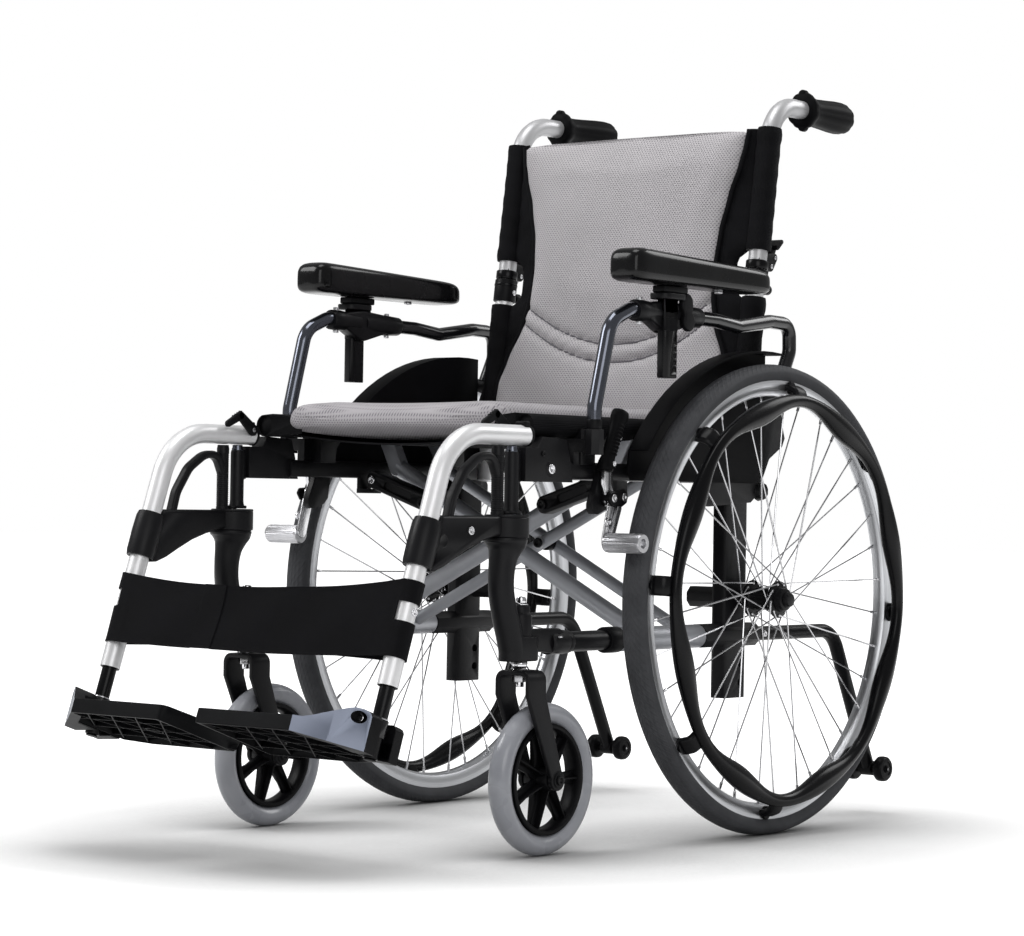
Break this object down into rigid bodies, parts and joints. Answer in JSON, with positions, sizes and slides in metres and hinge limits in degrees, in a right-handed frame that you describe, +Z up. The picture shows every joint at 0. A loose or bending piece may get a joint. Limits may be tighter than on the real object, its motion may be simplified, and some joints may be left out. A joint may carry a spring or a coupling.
{
  "type": "folding_wheelchair",
  "caption": "Lightweight folding wheelchair, spoked rear wheels with handrims, swing-away footrests, flip-back armrests, grey mesh seat and back",
  "frame": {"origin": "Middle of the footprint on the floor", "axes": "+X to the chair's own left, -Y to the front where the footplates are, +Z up"},
  "size_m": [0.6536, 1.149, 0.9925],
  "materials": {
    "frame_black": "satin black powder coat",
    "frame_gloss": "gloss black",
    "silver_tube": "silver metallic lacquer",
    "brace_silver": "silver anodised",
    "chrome": "polished",
    "rim_alloy": "brushed alloy",
    "tyre": "black rubber",
    "caster_tyre": "grey polyurethane",
    "grip_rubber": "black grip",
    "black_plastic": "moulded black",
    "mesh_grey": "grey spacer mesh on black backing",
    "strap_black": "black webbing",
    "plate_plastic": "dark moulded plastic"
  },
  "bodies": {
    "left_side": {"front_post_left": "frame_black", "upper_rail_left": "frame_black", "lower_rail_left": "frame_black", "axle_plate_left": "frame_black", "back_post_left": "silver_tube", "side_guard_left": "black_plastic", "back_cover_lower": "mesh_grey"},
    "brace_left": {"brace_left": "brace_silver"},
    "brace_right": {"brace_right": "brace_silver"},
    "right_side": {"front_post_right": "frame_black", "upper_rail_right": "frame_black", "lower_rail_right": "frame_black", "axle_plate_right": "frame_black", "back_post_right": "silver_tube", "side_guard_right": "black_plastic"},
    "seat": {"seat_cover": "mesh_grey"},
    "link_left": {"link_arm_left": "frame_black"},
    "link_right": {"link_arm_right": "frame_black"},
    "wheel_left": {"rear_wheel_left": "rim_alloy", "rear_tyre_left": "tyre", "handrim_left": "silver_tube"},
    "caster_fork_left": {"caster_fork_left": "frame_black"},
    "caster_wheel_left": {"caster_wheel_left": "caster_tyre"},
    "anti_tipper_left": {"anti_tipper_left": "frame_black"},
    "anti_tipper_wheels_left": {"anti_tipper_wheels_left": "grip_rubber"},
    "hanger_left": {"hanger_tube_left": "silver_tube", "hanger_bracket_left": "frame_black", "calf_strap": "strap_black"},
    "hanger_lever_left": {"hanger_lever_left": "frame_black"},
    "footrest_left": {"footrest_tube_left": "frame_gloss"},
    "footplate_left": {"footplate_left": "plate_plastic"},
    "armrest_left": {"armrest_frame_left": "silver_tube"},
    "armrest_top_left": {"armrest_post_left": "black_plastic", "armrest_pad_left": "black_plastic"},
    "brake_lever_left": {"brake_lever_left": "chrome"},
    "brake_shoe_left": {"brake_shoe_left": "silver_tube"},
    "back_left": {"back_cane_left": "chrome", "push_grip_left": "grip_rubber", "back_cover_upper": "mesh_grey"},
    "back_latch_left": {"back_latch_left": "chrome"},
    "wheel_right": {"rear_wheel_right": "rim_alloy", "rear_tyre_right": "tyre", "handrim_right": "silver_tube"},
    "caster_fork_right": {"caster_fork_right": "frame_black"},
    "caster_wheel_right": {"caster_wheel_right": "caster_tyre"},
    "anti_tipper_right": {"anti_tipper_right": "frame_black"},
    "anti_tipper_wheels_right": {"anti_tipper_wheels_right": "grip_rubber"},
    "hanger_right": {"hanger_tube_right": "silver_tube", "hanger_bracket_right": "frame_black"},
    "hanger_lever_right": {"hanger_lever_right": "frame_black"},
    "footrest_right": {"footrest_tube_right": "frame_gloss"},
    "footplate_right": {"footplate_right": "plate_plastic"},
    "armrest_right": {"armrest_frame_right": "silver_tube"},
    "armrest_top_right": {"armrest_post_right": "black_plastic", "armrest_pad_right": "black_plastic"},
    "brake_lever_right": {"brake_lever_right": "chrome"},
    "brake_shoe_right": {"brake_shoe_right": "silver_tube"},
    "back_right": {"back_cane_right": "chrome", "push_grip_right": "grip_rubber"},
    "back_latch_right": {"back_latch_right": "chrome"}
  },
  "joints": [
    {"name": "frame_fold", "type": "hinge", "parent": "left_side", "child": "brace_left", "pos_m": [0.226, 0.07443, 0.257], "axis": [0, 1, 0], "range_deg": [0, 42], "deforming": ["seat_cover", "back_cover_lower", "back_cover_upper", "calf_strap"]},
    {"name": "brace_cross", "type": "hinge", "parent": "brace_left", "child": "brace_right", "pos_m": [0, 0.07443, 0.37215], "axis": [0, 1, 0], "range_deg": [-84, 0]},
    {"name": "side_close", "type": "hinge", "parent": "brace_right", "child": "right_side", "pos_m": [-0.226, 0.07443, 0.257], "axis": [0, 1, 0], "range_deg": [0, 42]},
    {"name": "seat_lift", "type": "slide", "parent": "left_side", "child": "seat", "axis": [0.5106, 0, 0.8598], "range_m": [0, 0.265]},
    {"name": "link_swing_left", "type": "hinge", "parent": "brace_right", "child": "link_left", "pos_m": [0.1, -0.02557, 0.4232], "axis": [0, -1, 0], "range_deg": [0, 31]},
    {"name": "link_swing_right", "type": "hinge", "parent": "brace_left", "child": "link_right", "pos_m": [-0.1, -0.02557, 0.4232], "axis": [0, 1, 0], "range_deg": [0, 31]},
    {"name": "rear_wheel_spin_left", "type": "hinge", "parent": "left_side", "child": "wheel_left", "pos_m": [0.2806, 0.22443, 0.305], "axis": [1, 0, 0], "continuous": true},
    {"name": "caster_swivel_left", "type": "hinge", "parent": "left_side", "child": "caster_fork_left", "pos_m": [0.226, -0.22457, 0.26], "axis": [0, 0, 1], "continuous": true},
    {"name": "caster_spin_left", "type": "hinge", "parent": "caster_fork_left", "child": "caster_wheel_left", "pos_m": [0.226, -0.17987, 0.0924], "axis": [1, 0, 0], "continuous": true},
    {"name": "anti_tipper_turn_left", "type": "hinge", "parent": "left_side", "child": "anti_tipper_left", "pos_m": [0.226, 0.32443, 0.257], "axis": [0, 1, 0], "range_deg": [0, 180]},
    {"name": "anti_tipper_roll_left", "type": "hinge", "parent": "anti_tipper_left", "child": "anti_tipper_wheels_left", "pos_m": [0.226, 0.55743, 0.063], "axis": [1, 0, 0], "continuous": true},
    {"name": "hanger_swing_left", "type": "hinge", "parent": "left_side", "child": "hanger_left", "pos_m": [0.226, -0.25457, 0.4], "axis": [0, 0, 1], "range_deg": [0, 90]},
    {"name": "hanger_lever_push_left", "type": "hinge", "parent": "hanger_left", "child": "hanger_lever_left", "pos_m": [0.2132, -0.23557, 0.5125], "axis": [-1, 0, 0], "range_deg": [0, 15], "stiffness_Nm_per_rad": 0.4},
    {"name": "footrest_length_left", "type": "slide", "parent": "hanger_left", "child": "footrest_left", "axis": [0, -0.3289, -0.9444], "range_m": [-0.02, 0.06]},
    {"name": "footplate_flip_left", "type": "hinge", "parent": "footrest_left", "child": "footplate_left", "pos_m": [0.226, -0.48034, 0.17039], "axis": [0, 0.9444, -0.3289], "range_deg": [0, 85]},
    {"name": "armrest_flip_left", "type": "hinge", "parent": "left_side", "child": "armrest_left", "pos_m": [0.253, 0.28443, 0.59], "axis": [-1, 0, 0], "range_deg": [0, 110]},
    {"name": "armrest_height_left", "type": "slide", "parent": "armrest_left", "child": "armrest_top_left", "axis": [0, 0, 1], "range_m": [0, 0.05]},
    {"name": "brake_push_left", "type": "hinge", "parent": "left_side", "child": "brake_lever_left", "pos_m": [0.2398, -0.08057, 0.432], "axis": [1, 0, 0], "range_deg": [0, 20]},
    {"name": "brake_shoe_swing_left", "type": "hinge", "parent": "left_side", "child": "brake_shoe_left", "pos_m": [0.2398, -0.08057, 0.432], "axis": [1, 0, 0], "range_deg": [0, 9]},
    {"name": "back_fold_left", "type": "hinge", "parent": "left_side", "child": "back_left", "pos_m": [0.2135, 0.30233, 0.745], "axis": [-1, 0, 0], "range_deg": [0, 100], "deforming": ["back_cover_upper"]},
    {"name": "back_latch_turn_left", "type": "hinge", "parent": "back_left", "child": "back_latch_left", "pos_m": [0.2135, 0.31153, 0.757], "axis": [-1, 0, 0], "range_deg": [0, 30], "stiffness_Nm_per_rad": 0.3},
    {"name": "rear_wheel_spin_right", "type": "hinge", "parent": "right_side", "child": "wheel_right", "pos_m": [-0.2806, 0.22443, 0.305], "axis": [1, 0, 0], "continuous": true},
    {"name": "caster_swivel_right", "type": "hinge", "parent": "right_side", "child": "caster_fork_right", "pos_m": [-0.226, -0.22457, 0.26], "axis": [0, 0, 1], "continuous": true},
    {"name": "caster_spin_right", "type": "hinge", "parent": "caster_fork_right", "child": "caster_wheel_right", "pos_m": [-0.226, -0.17987, 0.0924], "axis": [1, 0, 0], "continuous": true},
    {"name": "anti_tipper_turn_right", "type": "hinge", "parent": "right_side", "child": "anti_tipper_right", "pos_m": [-0.226, 0.32443, 0.257], "axis": [0, -1, 0], "range_deg": [0, 180]},
    {"name": "anti_tipper_roll_right", "type": "hinge", "parent": "anti_tipper_right", "child": "anti_tipper_wheels_right", "pos_m": [-0.226, 0.55743, 0.063], "axis": [1, 0, 0], "continuous": true},
    {"name": "hanger_swing_right", "type": "hinge", "parent": "right_side", "child": "hanger_right", "pos_m": [-0.226, -0.25457, 0.4], "axis": [0, 0, -1], "range_deg": [0, 90]},
    {"name": "hanger_lever_push_right", "type": "hinge", "parent": "hanger_right", "child": "hanger_lever_right", "pos_m": [-0.2132, -0.23557, 0.5125], "axis": [-1, 0, 0], "range_deg": [0, 15], "stiffness_Nm_per_rad": 0.4},
    {"name": "footrest_length_right", "type": "slide", "parent": "hanger_right", "child": "footrest_right", "axis": [0, -0.3289, -0.9444], "range_m": [-0.02, 0.06]},
    {"name": "footplate_flip_right", "type": "hinge", "parent": "footrest_right", "child": "footplate_right", "pos_m": [-0.226, -0.48034, 0.17039], "axis": [0, -0.9444, 0.3289], "range_deg": [0, 85]},
    {"name": "armrest_flip_right", "type": "hinge", "parent": "right_side", "child": "armrest_right", "pos_m": [-0.253, 0.28443, 0.59], "axis": [-1, 0, 0], "range_deg": [0, 110]},
    {"name": "armrest_height_right", "type": "slide", "parent": "armrest_right", "child": "armrest_top_right", "axis": [0, 0, 1], "range_m": [0, 0.05]},
    {"name": "brake_push_right", "type": "hinge", "parent": "right_side", "child": "brake_lever_right", "pos_m": [-0.2398, -0.08057, 0.432], "axis": [1, 0, 0], "range_deg": [0, 20]},
    {"name": "brake_shoe_swing_right", "type": "hinge", "parent": "right_side", "child": "brake_shoe_right", "pos_m": [-0.2398, -0.08057, 0.432], "axis": [1, 0, 0], "range_deg": [0, 9]},
    {"name": "back_fold_right", "type": "hinge", "parent": "right_side", "child": "back_right", "pos_m": [-0.2135, 0.30233, 0.745], "axis": [-1, 0, 0], "range_deg": [0, 100]},
    {"name": "back_latch_turn_right", "type": "hinge", "parent": "back_right", "child": "back_latch_right", "pos_m": [-0.2135, 0.31153, 0.757], "axis": [-1, 0, 0], "range_deg": [0, 30], "stiffness_Nm_per_rad": 0.3}
  ],
  "couplings": [
    {"joint": "brace_cross", "follows": "frame_fold", "ratio": -2},
    {"joint": "side_close", "follows": "frame_fold", "ratio": 1},
    {"joint": "seat_lift", "follows": "frame_fold", "m_per_rad": 0.361},
    {"joint": "link_swing_left", "follows": "frame_fold", "ratio": 0.719},
    {"joint": "link_swing_right", "follows": "frame_fold", "ratio": 0.719},
    {"joint": "footplate_flip_left", "follows": "frame_fold", "ratio": 2.0238},
    {"joint": "brake_shoe_swing_left", "follows": "brake_push_left", "ratio": 0.45},
    {"joint": "footplate_flip_right", "follows": "frame_fold", "ratio": 2.0238},
    {"joint": "brake_shoe_swing_right", "follows": "brake_push_right", "ratio": 0.45},
    {"joint": "back_fold_right", "follows": "back_fold_left", "ratio": 1}
  ]
}
